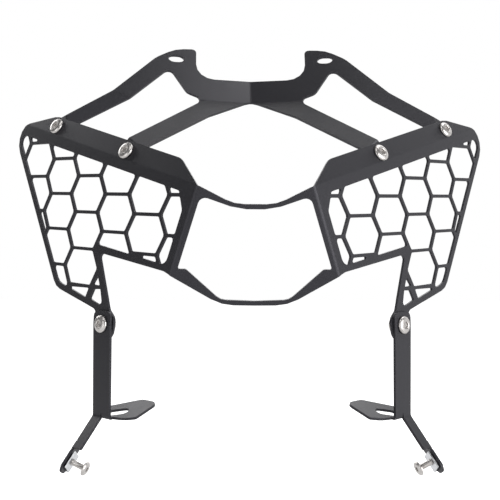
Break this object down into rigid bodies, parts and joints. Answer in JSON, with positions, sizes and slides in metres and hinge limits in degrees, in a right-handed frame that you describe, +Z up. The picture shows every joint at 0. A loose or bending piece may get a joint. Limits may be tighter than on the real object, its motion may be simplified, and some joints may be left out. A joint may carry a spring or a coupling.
{
  "type": "motorcycle headlight guard",
  "caption": "Folded steel headlight guard with two honeycomb grille panels, an open centre, an upper bracket with slotted ears and two lower legs, black powder coat.",
  "frame": {"origin": "centre of the bounding box", "axes": "+X to the right of a viewer in front of the guard, -Y out of its front, +Z up"},
  "size_m": [0.3196, 0.1666, 0.28],
  "materials": {
    "black_powder_coat": "satin",
    "stainless_steel": "satin",
    "zinc_plate": "satin"
  },
  "bodies": {
    "root": {"guard_panel": "black_powder_coat", "upper_bracket": "black_powder_coat", "leg_left": "black_powder_coat", "leg_right": "black_powder_coat", "flange_inner_left_screw": "stainless_steel", "flange_inner_left_washer": "stainless_steel", "flange_inner_left_nut": "stainless_steel", "flange_inner_right_screw": "stainless_steel", "flange_inner_right_washer": "stainless_steel", "flange_inner_right_nut": "stainless_steel", "flange_outer_left_screw": "stainless_steel", "flange_outer_left_washer": "stainless_steel", "flange_outer_left_nut": "stainless_steel", "flange_outer_right_screw": "stainless_steel", "flange_outer_right_washer": "stainless_steel", "flange_outer_right_nut": "stainless_steel", "leg_left_screw": "stainless_steel", "leg_left_washer": "stainless_steel", "leg_left_nut": "stainless_steel", "leg_right_screw": "stainless_steel", "leg_right_washer": "stainless_steel", "leg_right_nut": "stainless_steel", "clip_nut_left": "zinc_plate", "clip_screw_left": "stainless_steel", "clip_nut_right": "zinc_plate", "clip_screw_right": "stainless_steel"}
  },
  "joints": []
}
